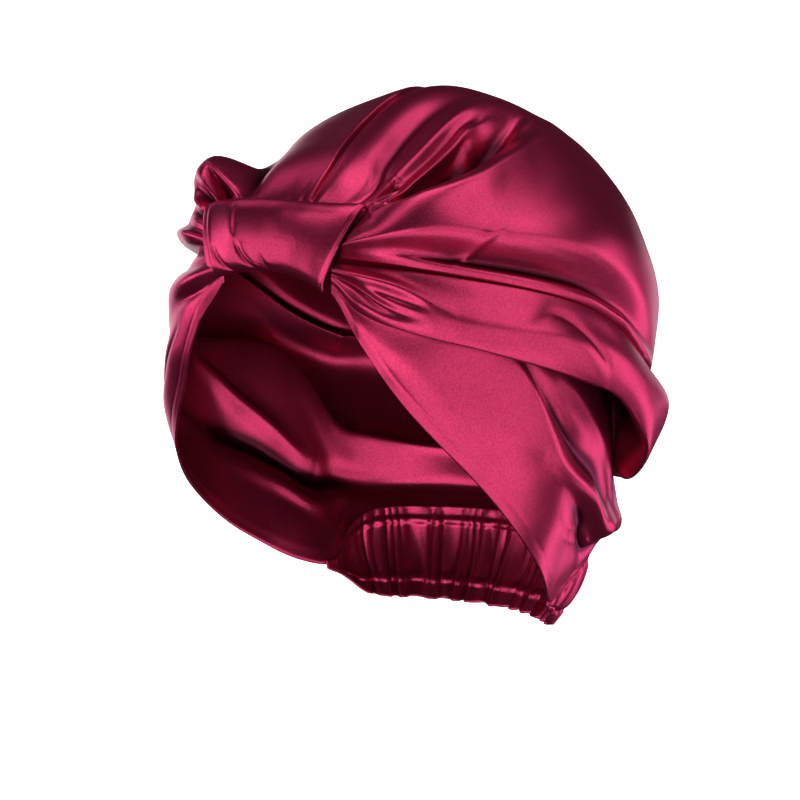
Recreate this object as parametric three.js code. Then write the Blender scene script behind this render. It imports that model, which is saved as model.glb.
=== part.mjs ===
// Satin turban sleep cap: a gathered crown, two draped side bands, a front tab and a ruffled nape casing.
// Millimetres, +Z up, -Y the front with the tab, +X the cap's left side as worn. The origin is the inner
// top of the crown, where the cap is held up.
import * as THREE from "three";

const { degToRad, radToDeg, smoothstep, lerp } = THREE.MathUtils;

// Rows of numbers under column names, each row as one object
function table(columns, ...rows) {
  return rows.map((row) => Object.fromEntries(columns.map((name, k) => [name, row[k]])));
}

// Cloth
const WALL = 1.2; // satin with its turned edges, as one closed wall
const GAP = 0.3; // between the bands and the middle of the back
const SEAM_GAP = 0.6; // along a seam, where the facets of the two pieces end at other places

// The dome under the crown: half axes of an ellipsoid whose inner top is the origin
const DOME = new THREE.Vector3(91, 105, 94.5);
const DOME_CENTRE = new THREE.Vector3(0, 0, WALL - DOME.z);

// Fan of the gathers, in degrees on the dome from the middle of the tab
const TAB_TILT = 24; // rise of the tab's middle above the dome's equator
const FAN_FOCUS = 15.5; // half the line under the tab that the folds spring from
const FAN_START = 4; // the crown's front edge, hidden in the tab
const FAN_END_MIDDLE = 172; // the crown's back edge on the middle line
const FAN_END_SIDE = 119; // the same where the side seams end
const FAN_END_ROUNDING = 4.4; // how squarely the back edge turns into the side seams
const SEAM_SIDE_SHARE = 0.64; // part of a band's length that lies along the side seam
const SEAM_BACK_PACE = 2.2; // evens out the steps along the back edge

// Side seam of the crown: its angle about the tab, straight up being 0, at each distance from the tab
const SIDE_SEAM = table(
  ["distance", "angle"],
  [15, 91],
  [45, 87.5],
  [75, 85.5],
  [90, 86.5],
  [105, 89.2],
  [120, 90.5],
  [172, 92],
);

// Folds of the crown: fan angle of the crest by the tab and far from it, the distances at which it starts,
// is full and has faded, its height, and its half width in degrees of the fan
const CROWN_FOLDS = table(
  ["near", "far", "start", "full", "fade", "height", "width"],
  [20, 9, 8, 26, 105, 3.6, 4.5], // crest of the pleat beside the middle
  [28, 17, 8, 26, 90, -2.6, 4.5], // crease under that pleat
  [50, 33, 15, 36, 82, 5.0, 6.5], // crest left of the front
  [56, 45, 16, 44, 80, -7.5, 8], // deep valley behind that crest
  [73, 74, 13, 32, 108, 11, 16], // left lobe
  [-63, -63, 12, 29, 64, 17, 10], // right lobe, the proudest by the tab
  [-75, -76, 14, 40, 112, 7, 12], // the same lobe, dying away along the side
  [0, 0, 14, 44, 78, -7.5, 62], // flat above the tab
);
const FOLD_NEAR = 10; // distances between which a crest goes from its near to its far angle
const FOLD_FAR = 60;
const SEAM_RIDGE = { height: 3.2, angle: 85, width: 3.2, start: 14, full: 30, fade: 135 };
const SEAM_FLAT_FROM = 82; // fan angle past which the crown comes down to its seam
const BACK_FLAT_SHARE = 0.9; // share of the way back past which it does so there
const TAB_GATHER = { height: 0.9, pitch: 15, until: 38 };

// Sections of a side band, by the angle about Z from the front: radius and height of the roll's outermost
// line, the roll's lower edge, the tuck behind it, the panel's fullest line and the panel's end
const BAND_SECTIONS = table(
  ["turn", "rollR", "rollZ", "foldR", "foldZ", "tuckR", "tuckZ", "panelR", "panelZ", "endR", "endZ"],
  [13, 99.2, -57.5, 99.6, -59.5, 99.8, -61, 100, -62.5, 100, -64],
  [17, 99.8, -59, 100.6, -62, 100.4, -63, 100.6, -64, 100.7, -65.5],
  [22, 102, -63.5, 105.5, -71.5, 103, -72, 104.5, -79, 104.5, -86],
  [32, 103.5, -71, 105.5, -80, 101, -78.5, 103, -96, 100, -115],
  [48, 103, -80, 103.5, -90.5, 97.5, -86, 98, -116, 91.5, -144],
  [72, 99.5, -88.5, 99, -101, 90.5, -94, 89.5, -137, 76.5, -179],
  [88, 98.5, -97, 97.5, -111.5, 86, -101, 82, -150, 63.5, -197.5],
  [102, 99.5, -111, 97, -131, 82.5, -114, 77, -166, 58.5, -202.5],
  [115, 100.5, -124, 94, -147, 79.5, -134, 78.5, -172, 66, -192],
  [126, 100.5, -131, 90.5, -155, 79.5, -151, 79.5, -176, 70, -187.5],
  [150, 102, -136, 89.5, -161, 78.5, -158, 79, -178, 70.5, -187],
  [180, 104, -138, 89.5, -163, 78, -160, 78.5, -178, 70.5, -187],
);
// Pleats of a band by the tab: place and half width as shares of the way down the section, the angles about
// Z at which each starts, is full and has faded, and its height
const BAND_PLEATS = table(
  ["place", "width", "start", "full", "fade", "height"],
  [0.1, 0.05, 16, 24, 42, -2.2], // hollow under the crown's seam
  [0.18, 0.045, 16, 25, 40, 1.8], // short pleat by the tab
  [0.27, 0.05, 16, 24, 38, -1.8], // hollow under that pleat
);

// Casing of the elastic at the nape, by the angle about Z: its lower edge
const CASING_EDGE = table(
  ["turn", "edgeR", "edgeZ"],
  [98, 57.5, -205.5],
  [106, 54.5, -210],
  [117, 53, -219],
  [140, 51.5, -222],
  [180, 52, -223.5],
);
const CASING_START = 98; // angle about Z at which it leaves the hem
const CASING_EASE = 22; // further angle over which its gathers grow
const CASING_BULGE = 3.2;
const CASING_RUFFLE = { height: 1.9, count: 17 };

// Front tab: half its width at its top and at the hem, and its section as the height of each turn and its
// rise from the dome, from the top edge down the front, round the hem and up inside the cap
const TAB_TOP = { height: -38.5, halfWidth: 39 };
const TAB_HEM = { height: -66, halfWidth: 28.5 };
const TAB_RELEASE = 15; // distance from the tab's edge within which the gathered cloth swells out
const TAB_SECTION = table(
  ["step", "height", "rise"],
  [0, TAB_TOP.height, 3.8],
  [1, -44, 5.2],
  [2, -52, 5.8],
  [3, -60, 5.6],
  [4, TAB_HEM.height, 3.8],
  [5, -68.6, 0.4],
  [6, -66, -3.4],
  [7, -58, -4.4],
  [8, -46, -4.4],
);

// Mesh fineness
const CROWN_GRID = { slices: 48, stacks: 20 };
const BAND_GRID = { slices: 15, stacks: 36 };
const TAB_GRID = { slices: 14, stacks: 16 };
const CASING_GRID = { slices: 6, stacks: 52 };

// One column of a table at x, on a smooth curve through its rows, which run by their first column
function along(rows, column, x) {
  const key = Object.keys(rows[0])[0];
  const last = rows.length - 1;
  let k = 0;
  while (k < last - 1 && x > rows[k + 1][key]) k += 1;
  const slope = (i) => {
    const before = rows[Math.max(i - 1, 0)];
    const after = rows[Math.min(i + 1, last)];
    return (after[column] - before[column]) / (after[key] - before[key]);
  };
  const span = rows[k + 1][key] - rows[k][key];
  const t = Math.min(Math.max((x - rows[k][key]) / span, 0), 1);
  const rise = t * t * (3 - 2 * t);
  const ends = lerp(rows[k][column], rows[k + 1][column], rise);
  return ends + span * (slope(k) * t * (1 - t) ** 2 - slope(k + 1) * t * t * (1 - t));
}

// A swell that grows from start to full and dies away by fade
function swell(x, { start, full, fade }) {
  return smoothstep(x, start, full) * (1 - smoothstep(x, full, fade));
}

// A rounded back of the given half width
function hump(offset, width) {
  return Math.exp(-((offset / width) ** 2));
}

// Point of the dome in a direction, raised along the dome's normal
function onDome(direction, rise) {
  const normal = direction.clone().divide(DOME).normalize();
  return direction.clone().multiply(DOME).add(DOME_CENTRE).addScaledVector(normal, rise);
}

// How far out the crown reaches at each fan angle
function fanEnd(angle) {
  const side = Math.abs(angle / 90) ** FAN_END_ROUNDING;
  return lerp(FAN_END_MIDDLE, FAN_END_SIDE, side);
}

// Direction of a place in the fan. The fan's lines are hyperbolas that leave the line under the tab
// squarely and spread over the dome, and its last lines are the side seams.
function fanDirection(angle, reach) {
  const across = Math.hypot(FAN_FOCUS, reach) * Math.sin(degToRad(angle));
  const upward = reach * Math.cos(degToRad(angle));
  const distance = Math.hypot(across, upward);
  const spread = radToDeg(Math.atan2(across, upward));
  const turn = degToRad((spread / 90) * along(SIDE_SEAM, "angle", distance));
  const tilt = degToRad(TAB_TILT);
  const away = degToRad(distance);
  const forward = Math.cos(away);
  const climb = Math.sin(away) * Math.cos(turn);
  return new THREE.Vector3(
    Math.sin(away) * Math.sin(turn),
    climb * Math.sin(tilt) - forward * Math.cos(tilt),
    forward * Math.sin(tilt) + climb * Math.cos(tilt),
  );
}

// Half the tab's width at a height
function tabHalfWidth(height) {
  const share = (height - TAB_HEM.height) / (TAB_TOP.height - TAB_HEM.height);
  return lerp(TAB_HEM.halfWidth, TAB_TOP.halfWidth, share);
}

// How far the cloth has come free of the tab at a point, from 0 under its edge to 1
function freeOfTab(point) {
  const beside = Math.abs(point.x) - tabHalfWidth(point.z);
  const outside = Math.max(beside, point.z - TAB_TOP.height, point.y);
  return smoothstep(outside, 0, TAB_RELEASE);
}

// Height of the crown's cloth over the dome
function crownRelief(angle, reach) {
  const sweep = Math.min(Math.max((reach - FOLD_NEAR) / (FOLD_FAR - FOLD_NEAR), 0), 1);
  let height = 0;
  for (const fold of CROWN_FOLDS) {
    const crest = lerp(fold.near, fold.far, sweep);
    height += fold.height * swell(reach, fold) * hump(angle - crest, fold.width);
  }
  const side = Math.abs(angle);
  const gathers = Math.cos((angle / TAB_GATHER.pitch) * 2 * Math.PI);
  height *= freeOfTab(onDome(fanDirection(angle, reach), 0));
  height += TAB_GATHER.height * gathers * (1 - smoothstep(reach, FAN_START, TAB_GATHER.until));
  height *= 1 - smoothstep(side, SEAM_FLAT_FROM, 90);
  height += SEAM_RIDGE.height * swell(reach, SEAM_RIDGE) * hump(side - SEAM_RIDGE.angle, SEAM_RIDGE.width);
  const end = fanEnd(angle);
  return height * (1 - smoothstep(reach, BACK_FLAT_SHARE * end, end));
}

// Closed wall of one piece of cloth. face(u, v) is its outer face, with u turned to v seen from outside.
// The inner face lies one wall behind it and four strips close the edges.
function clothWall(face, { slices, stacks }) {
  const row = slices + 1;
  const outer = [];
  for (let j = 0; j <= stacks; j += 1) {
    for (let i = 0; i <= slices; i += 1) outer.push(face(i / slices, j / stacks));
  }
  const at = (i, j) => outer[Math.min(Math.max(j, 0), stacks) * row + Math.min(Math.max(i, 0), slices)];
  const inner = outer.map((point, k) => {
    const i = k % row;
    const j = Math.floor(k / row);
    const alongU = at(i + 1, j).clone().sub(at(i - 1, j));
    const alongV = at(i, j + 1).clone().sub(at(i, j - 1));
    return point.clone().addScaledVector(alongU.cross(alongV).normalize(), -WALL);
  });
  const offset = outer.length;
  const index = [];
  const quad = (a, b, c, d) => index.push(a, b, c, a, c, d);
  for (let j = 0; j < stacks; j += 1) {
    for (let i = 0; i < slices; i += 1) {
      const a = j * row + i;
      quad(a, a + 1, a + row + 1, a + row);
      quad(offset + a, offset + a + row, offset + a + row + 1, offset + a + 1);
    }
  }
  for (let i = 0; i < slices; i += 1) {
    const far = stacks * row + i;
    quad(i, offset + i, offset + i + 1, i + 1);
    quad(far, far + 1, offset + far + 1, offset + far);
  }
  for (let j = 0; j < stacks; j += 1) {
    const near = j * row;
    const far = near + slices;
    quad(near, near + row, offset + near + row, offset + near);
    quad(far, offset + far, offset + far + row, far + row);
  }
  const geometry = new THREE.BufferGeometry().setFromPoints([...outer, ...inner]);
  geometry.setIndex(index);
  geometry.computeVertexNormals();
  return geometry;
}

// Crown: from the right seam to the left one, and from under the tab to the back edge
function crownFace(u, v) {
  const angle = lerp(-90, 90, u);
  const reach = lerp(FAN_START, fanEnd(angle), v);
  return onDome(fanDirection(angle, reach), crownRelief(angle, reach));
}

// The left seam of crown and band, from the tab along the side and round the back to the middle line
function seamPoint(share) {
  if (share < SEAM_SIDE_SHARE) {
    return onDome(fanDirection(90, lerp(FAN_START, FAN_END_SIDE, share / SEAM_SIDE_SHARE)), 0);
  }
  const back = (share - SEAM_SIDE_SHARE) / (1 - SEAM_SIDE_SHARE);
  const angle = 90 * (1 - back ** SEAM_BACK_PACE);
  return onDome(fanDirection(angle, fanEnd(angle)), 0);
}

// Left band: down its section from the seam over the roll and the tuck to the panel's end
function bandFace(down, share) {
  const seam = seamPoint(share);
  const turn = radToDeg(Math.atan2(seam.x, -seam.y));
  const line = (name) => {
    const radius = along(BAND_SECTIONS, `${name}R`, turn);
    return new THREE.Vector3(radius, 0, along(BAND_SECTIONS, `${name}Z`, turn));
  };
  const top = new THREE.Vector3(Math.hypot(seam.x, seam.y), 0, seam.z - SEAM_GAP);
  const lines = ["roll", "fold", "tuck", "panel", "end"].map(line);
  const section = new THREE.CatmullRomCurve3([top, ...lines]);
  const point = section.getPoint(down);
  const way = section.getTangent(down);
  let height = 0;
  for (const pleat of BAND_PLEATS) {
    height += pleat.height * swell(turn, pleat) * hump(down - pleat.place, pleat.width);
  }
  const radius = point.x - way.z * height;
  const angle = degToRad(turn);
  return new THREE.Vector3(
    radius * Math.sin(angle) + GAP,
    -radius * Math.cos(angle),
    point.z + way.x * height,
  );
}

const mirrored = (point) => point.setX(-point.x);

// Casing: from the panels' ends down to the ruffled edge, round the nape from the left to the right
function casingFace(down, share) {
  const turn = lerp(CASING_START, 360 - CASING_START, share);
  const half = Math.min(turn, 360 - turn);
  const top = { r: along(BAND_SECTIONS, "endR", half), z: along(BAND_SECTIONS, "endZ", half) - SEAM_GAP };
  const edge = { r: along(CASING_EDGE, "edgeR", half), z: along(CASING_EDGE, "edgeZ", half) };
  const body = smoothstep(half, CASING_START, CASING_START + CASING_EASE);
  const wave = Math.cos(share * CASING_RUFFLE.count * 2 * Math.PI);
  const bulge = body * (CASING_BULGE * Math.sin(Math.PI * down) + CASING_RUFFLE.height * wave * down);
  const radius = lerp(top.r, edge.r, down) + bulge;
  const angle = degToRad(turn);
  return new THREE.Vector3(radius * Math.sin(angle), -radius * Math.cos(angle), lerp(top.z, edge.z, down));
}

// Tab: from its left end to its right one, and from its top edge round the hem to the inside
function tabFace(u, v) {
  const step = v * (TAB_SECTION.length - 1);
  const height = along(TAB_SECTION, "height", step);
  const x = tabHalfWidth(height) * (1 - 2 * u);
  const up = (height - DOME_CENTRE.z) / DOME.z;
  const side = x / DOME.x;
  const direction = new THREE.Vector3(side, -Math.sqrt(1 - side * side - up * up), up);
  return onDome(direction, along(TAB_SECTION, "rise", step));
}

const SATIN = { color: 0xa5173f, roughness: 0.32, metalness: 0.1 };

// One named piece with its own satin
function piece(name, geometry) {
  const mesh = new THREE.Mesh(geometry, new THREE.MeshStandardMaterial(SATIN));
  mesh.name = name;
  return mesh;
}

const cap = new THREE.Group();
cap.add(
  piece("crown", clothWall(crownFace, CROWN_GRID)),
  piece("side_band_left", clothWall(bandFace, BAND_GRID)),
  piece("side_band_right", clothWall((u, v) => mirrored(bandFace(1 - u, v)), BAND_GRID)),
  piece("front_tab", clothWall(tabFace, TAB_GRID)),
  piece("nape_casing", clothWall(casingFace, CASING_GRID)),
);

export default cap;
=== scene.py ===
"""Satin turban sleep cap: gathered crown, two draped side bands, front tab and ruffled nape casing.

Shapes are worked out in millimetres, in the frame of the CAD model: +Z up, -Y the front with the tab, +X
the cap's left side as worn, origin at the inner top of the crown.
"""
from types import SimpleNamespace as Sizes

import bpy
import numpy as np
from mathutils import Matrix, Vector


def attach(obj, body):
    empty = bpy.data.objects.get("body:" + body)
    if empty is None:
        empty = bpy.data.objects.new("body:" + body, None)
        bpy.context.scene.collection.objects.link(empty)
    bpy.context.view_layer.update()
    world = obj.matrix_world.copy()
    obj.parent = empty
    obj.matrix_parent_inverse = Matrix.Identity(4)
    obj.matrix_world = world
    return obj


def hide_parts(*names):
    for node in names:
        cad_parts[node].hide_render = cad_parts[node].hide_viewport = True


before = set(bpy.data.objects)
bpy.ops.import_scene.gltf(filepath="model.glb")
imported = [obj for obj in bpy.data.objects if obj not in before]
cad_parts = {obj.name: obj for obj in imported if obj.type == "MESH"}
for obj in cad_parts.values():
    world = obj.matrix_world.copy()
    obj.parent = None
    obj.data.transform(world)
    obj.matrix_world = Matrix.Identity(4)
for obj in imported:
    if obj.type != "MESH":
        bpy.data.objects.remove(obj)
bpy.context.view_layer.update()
MM = 0.001
FULL_TURN = 2 * np.pi
TINY = 1e-9
SPACING_STEPS = 2000  # in which a grid's density is summed


# Tables and curves


def table(columns, *rows):
    """Rows of numbers under column names, as one array for each name; the first column is the key."""
    return dict(zip(columns.split(), np.array(rows, float).T))


def fold(sharp, *rows, guide=None):
    """One fold: where its crest lies along its run, its height, its half widths on its low and high side
    and, where given, how far the crest leans to the high side, in mm; sharp is the power of its back, 2
    round and 1 a knife edge. A fold with a guide has its place in mm from that line."""
    columns = "run place height low high lean".split()[: len(rows[0])]
    return dict(table(" ".join(columns), *rows), sharp=sharp, guide=guide)


def along(rows, column, x):
    """One column of a table at x: cubic pieces through its rows, sloped by each row's neighbours."""
    key = next(iter(rows.values()))
    value = rows[column]
    slope = np.empty_like(value)
    slope[1:-1] = (value[2:] - value[:-2]) / (key[2:] - key[:-2])
    slope[0] = (value[1] - value[0]) / (key[1] - key[0])
    slope[-1] = (value[-1] - value[-2]) / (key[-1] - key[-2])
    k = np.clip(np.searchsorted(key, x) - 1, 0, len(key) - 2)
    span = key[k + 1] - key[k]
    t = np.clip((x - key[k]) / span, 0, 1)
    ends = value[k] + (value[k + 1] - value[k]) * t * t * (3 - 2 * t)
    return ends + span * (slope[k] * t * (1 - t) ** 2 - slope[k + 1] * t * t * (1 - t))


def smooth(x, low, high):
    """0 below low, 1 above high, and an even S between them."""
    t = np.clip((x - low) / (high - low), 0, 1)
    return t * t * (3 - 2 * t)


def swell(x, start, full, fade):
    """Grows from start to full and dies away by fade."""
    return smooth(x, start, full) * (1 - smooth(x, full, fade))


def hump(offset, width):
    """A rounded back: the bell curve of the given half width."""
    return np.exp(-((offset / width) ** 2))


def unit(vectors):
    """Vectors of length one."""
    return vectors / np.maximum(np.linalg.norm(vectors, axis=-1, keepdims=True), TINY)


def spaced(low, high, count, crowd):
    """Places from low to high, closer together where the crowd table's density is greater."""
    fine = np.linspace(low, high, SPACING_STEPS + 1)
    total = np.concatenate([[0], np.cumsum(along(crowd, "density", (fine[1:] + fine[:-1]) / 2))])
    return np.interp(np.linspace(0, total[-1], count), total, fine)


def add_folds(folds, offset_from, height, lean):
    """Adds folds to a relief: each back is exp(-|offset from its crest / half width|^sharp)."""
    for each in folds:
        run, offset = offset_from(each)
        width = np.where(offset < 0, along(each, "low", run), along(each, "high", run))
        back = np.exp(-np.abs(offset / width) ** each["sharp"])
        height += along(each, "height", run) * back
        if "lean" in each:
            lean += along(each, "lean", run) * back


# Slow ripples: share of the height, pace and phase across, how far and how fast the phase wanders
RIPPLES = table(
    "share pace phase wander turn start",
    (1, 1, 0, 1.3, 0.7, 0.4),
    (0.7, 1.7, 2.1, 1.1, 1.1, 1.9),
    (0.5, 2.9, 0.6, 1.7, 0.6, 3),
)


def ripple(a, b):
    """Slow irregular waves from -1 to 1: sines across a whose phases wander along b."""
    waves = 0
    for share, pace, phase, wander, turn, start in zip(*RIPPLES.values()):
        waves = waves + share * np.sin(pace * a + phase + wander * np.sin(turn * b + start))
    return waves / RIPPLES["share"].sum()


def run_lengths(points, axis):
    """Length of cloth from the grid's first line to each point: the sum of the steps along one axis."""
    steps = np.linalg.norm(np.diff(points, axis=axis), axis=-1)
    return np.concatenate([np.zeros_like(steps.take([0], axis)), np.cumsum(steps, axis)], axis)


# The dome under the crown and the fan of gathers over it, in degrees from the middle of the tab

WALL = 1.0  # two thin layers of satin, sewn edge to edge
CAD_WALL = 1.2  # the solids' wall, whose inner top is the origin
DOME = np.array([91, 105, 94.5])  # half axes
DOME_CENTRE = np.array([0, 0, CAD_WALL - DOME[2]])
TAB_TILT = np.radians(24)  # rise of the fan's middle above the dome's equator
FAN_FOCUS = 15.5  # half the line under the tab that the folds spring from
FAN_START = 4  # the crown's front edge, under the tab
FAN_SIDE = 90  # fan angle of the side seams
FAN_END_MIDDLE = 172  # the crown's back edge on the middle line
FAN_END_SIDE = 119  # the same where the side seams end
FAN_END_ROUNDING = 4.4  # how squarely the back edge turns into the side seams
SEAM_SIDE_SHARE = 0.64  # part of a band's steps that lies along the side seam
SEAM_BACK_PACE = 2.2  # evens out the steps along the back edge
# Side seam of the crown: its angle about the tab, straight up being 0, at each distance from the tab
SIDE_SEAM = table(
    "distance angle",
    (15, 91),
    (45, 87.5),
    (75, 85.5),
    (90, 86.5),
    (105, 89.2),
    (120, 90.5),
    (172, 92),
)


def on_dome(direction, rise):
    """Point of the ellipsoid in a direction, raised along the ellipsoid's normal."""
    normal = unit(direction / DOME)
    return direction * DOME + DOME_CENTRE + normal * np.asarray(rise)[..., None]


def fan_end(angle):
    """How far out the crown reaches at each fan angle."""
    side = np.abs(angle / FAN_SIDE) ** FAN_END_ROUNDING
    return FAN_END_MIDDLE + (FAN_END_SIDE - FAN_END_MIDDLE) * side


def fan_direction(angle, reach):
    """Direction of a place in the fan: hyperbolas that leave the line under the tab squarely and spread
    over the dome, the last of them being the side seams."""
    leaving = np.radians(angle)
    across = np.hypot(FAN_FOCUS, reach) * np.sin(leaving)
    upward = reach * np.cos(leaving)
    distance = np.hypot(across, upward)
    spread = np.degrees(np.arctan2(across, upward))
    turn = np.radians(spread / FAN_SIDE * along(SIDE_SEAM, "angle", distance))
    away = np.radians(distance)
    forward = np.cos(away)
    climb = np.sin(away) * np.cos(turn)
    return np.stack(
        [
            np.sin(away) * np.sin(turn),
            climb * np.sin(TAB_TILT) - forward * np.cos(TAB_TILT),
            forward * np.sin(TAB_TILT) + climb * np.cos(TAB_TILT),
        ],
        -1,
    )


# Front tab

TAB_WALL = 1.4
TAB_TOP = -38.3  # height of its top edge
TAB_RELEASE = (-1.2, 2.4)  # mm from its edge where the cloth below begins to rise and has risen
TAB_ENDS = table(
    "height right left",
    (-69, -33, 22.6),
    (-66, -33.6, 23.2),
    (-60, -36.6, 24.8),
    (-52, -41, 26.8),
    (-45, -45, 28.4),
    (-38.3, -47, 29.4),
)
TAB_SECTION = table(
    "step height rise",
    (0, -38.3, 2),
    (1, -39.6, 5.2),
    (2, -44, 7.3),
    (3, -52, 7.1),
    (4, -60, 5.8),
    (5, -66.4, 3.7),
    (6, -69, 0.4),
    (7, -66, -3.4),
    (8, -58, -4.4),
    (9, -46, -4.4),
)
TAB_CELLS = (190, 150)  # across, down the section
TAB_CROWD = table("across density", (0, 4), (0.03, 2), (0.1, 1), (0.9, 1), (0.97, 2), (1, 4))
TAB_ARCH = Sizes(height=6.3, skew=0.8, start=1.5, full=6)  # its hem stands higher in the middle
TAB_DROOP = Sizes(height=6.0, start=0.5, power=1.8, until=4)  # its top edge falls towards the right end
TAB_LEFT_DIP = 0.6  # how far its ends dip to the cloth below
TAB_RIGHT_DIP = 1.6
TAB_END_ROUND = 0.8
TAB_TURN_IN = (6.2, 7.2)  # steps between which the section turns inside
TAB_RIPPLE = Sizes(height=0.25, across=13, phase=2, down=0.8)
TAB_WRINKLES = (
    # line beside the right end and the groove along it
    fold(
        1.7,
        (0.6, 0.9, 0, 1, 1.4), (2, 0.905, 0.3, 1, 1.4), (4, 0.905, 0.3, 1.1, 1.5), (5.2, 0.9, 0, 1.1, 1.5),
    ),
    fold(
        1.7,
        (0.6, 0.93, 0, 1, 1), (2, 0.935, -0.3, 1.1, 1.1), (4, 0.935, -0.3, 1.1, 1.1),
        (5.4, 0.93, 0, 1.1, 1.1),
    ),
    # soft line and the hollow before it
    fold(
        1.7,
        (1, 0.7, 0, 1.4, 4), (2.6, 0.69, 0.8, 1.4, 4), (3.6, 0.68, 0.8, 1.4, 4), (4.6, 0.66, 0, 1.4, 4),
    ),
    fold(2, (1, 0.45, 0, 5, 5), (2.6, 0.44, -0.5, 5, 5), (4, 0.43, -0.5, 5, 5), (5, 0.42, 0, 5, 5)),
    # crescents pulled up from the hem
    fold(
        1.5,
        (3.4, 0.68, 0, 1, 1.4), (4.1, 0.645, -1.1, 1.1, 1.8), (4.9, 0.58, -1.2, 1.2, 2),
        (5.7, 0.49, 0, 1.2, 2),
    ),
    fold(
        1.5,
        (3.6, 0.62, 0, 1, 1.6), (4.3, 0.6, 0.7, 1.1, 1.8), (5, 0.53, 0.8, 1.2, 2), (5.7, 0.45, 0, 1.2, 2),
    ),
    fold(
        1.5,
        (3.7, 0.88, 0, 1, 1.4), (4.4, 0.845, -0.9, 1.1, 1.6), (5, 0.79, -1, 1.2, 2), (5.7, 0.7, 0, 1.2, 2),
    ),
    fold(
        1.6,
        (4.2, 0.47, 0, 1, 1.4), (4.7, 0.45, -0.7, 1.1, 1.6), (5.2, 0.42, -0.8, 1.2, 2),
        (5.8, 0.38, 0, 1.2, 2),
    ),
)


def tab_face():
    """From the left end to the right one, and from the top edge down the front, round the hem and up
    inside: each section line lies at its own height and rise from the dome, the hem arched as half a sine;
    both ends dip to the cloth below."""
    across = spaced(0, 1, TAB_CELLS[0] + 1, TAB_CROWD)[None, :]
    step = np.linspace(0, TAB_SECTION["step"][-1], TAB_CELLS[1] + 1)[:, None]
    line = along(TAB_SECTION, "height", step)
    arched = np.sin(np.pi * across**TAB_ARCH.skew)
    arch = TAB_ARCH.height * arched * smooth(step, TAB_ARCH.start, TAB_ARCH.full)
    falling = np.clip((across - TAB_DROOP.start) / (1 - TAB_DROOP.start), 0, 1) ** TAB_DROOP.power
    droop = TAB_DROOP.height * falling * (1 - smooth(step, 0, TAB_DROOP.until))
    height = line + arch - droop
    left_end = along(TAB_ENDS, "left", line)
    span = left_end - along(TAB_ENDS, "right", line)
    x = left_end - span * across
    side = x / DOME[0]
    up = (height - DOME_CENTRE[2]) / DOME[2]
    direction = np.stack([side, -np.sqrt(1 - side**2 - up**2), up], -1)
    rise = along(TAB_SECTION, "rise", step) + 0 * x
    lean = np.zeros_like(rise)
    add_folds(TAB_WRINKLES, lambda each: (step, (across - along(each, "place", step)) * span), rise, lean)
    outside = 1 - smooth(step, *TAB_TURN_IN)
    rise -= outside * TAB_LEFT_DIP * hump(across * span, TAB_END_ROUND)
    rise -= outside * TAB_RIGHT_DIP * hump((1 - across) * span, TAB_END_ROUND)
    rippled = ripple(across * TAB_RIPPLE.across + TAB_RIPPLE.phase, step * TAB_RIPPLE.down)
    rise += outside * TAB_RIPPLE.height * rippled
    return on_dome(direction, rise)


def free_of_tab(point):
    """How far cloth has come free of the tab, from 0 under its edge to 1."""
    x, y, z = np.moveaxis(point, -1, 0)
    beside = np.maximum(x - along(TAB_ENDS, "left", z), along(TAB_ENDS, "right", z) - x)
    return smooth(np.maximum(np.maximum(beside, z - TAB_TOP), y), *TAB_RELEASE)


# Crown

CROWN_CELLS = (290, 166)  # across the fan, along it
CROWN_CROWD = table(
    "place density",
    (-90, 2.2), (-84, 1.9), (-66, 1.9), (-50, 1.6), (-36, 0.7), (-12, 0.9), (-3, 2.4), (3, 2.6), (9, 1.3),
    (26, 1.2), (35, 2.4), (42, 2), (50, 2.4), (58, 1.2), (75, 1.2), (84, 2), (90, 2.6),
)
CROWN_ROWS = table(
    "reach density",
    (4, 1.2), (12, 2.6), (20, 3.2), (34, 3), (46, 2.2), (62, 1.7), (82, 1), (110, 0.6), (172, 0.6),
)

# Fan angles of three crests by their reach; the grid's lines follow them, so the cloth breaks along them
CROWN_GUIDES = table(
    "reach crease ridge lip",
    (4, 14, 45, 49),
    (14, 12.1, 48, 54.5),
    (22, 9.4, 51, 58.6),
    (26, 6.6, 52.4, 59.4),
    (30, 3.6, 51.3, 58.6),
    (34, 1, 47, 57.6),
    (42, -3, 40, 55.2),
    (50, -4.8, 34.2, 51.4),
    (57, -5.5, 30, 46),
    (63, -5.8, 27, 41.6),
    (68, -7, 25, 37.2),
    (80, -8.5, 22, 29),
    (120, -10, 20, 26),
    (172, -10, 20, 26),
)
GUIDE_PLACES = np.array([-90, -50, 0, 38, 50, 68, 90])

# Broad forms: crest's fan angle by the tab and far off, start, full, fade, height, half width on each side
CROWN_FORMS = table(
    "near far start full fade height low high",
    (77, 75.5, -18, 30, 120, 11.5, 21, 6.4),
    (0, 0, 14, 44, 78, -7.5, 62, 62),
)
FORM_NEAR = 14  # reach at which a form's crest leaves its place by the tab
FORM_FAR = 38  # and comes to its far one

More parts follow.
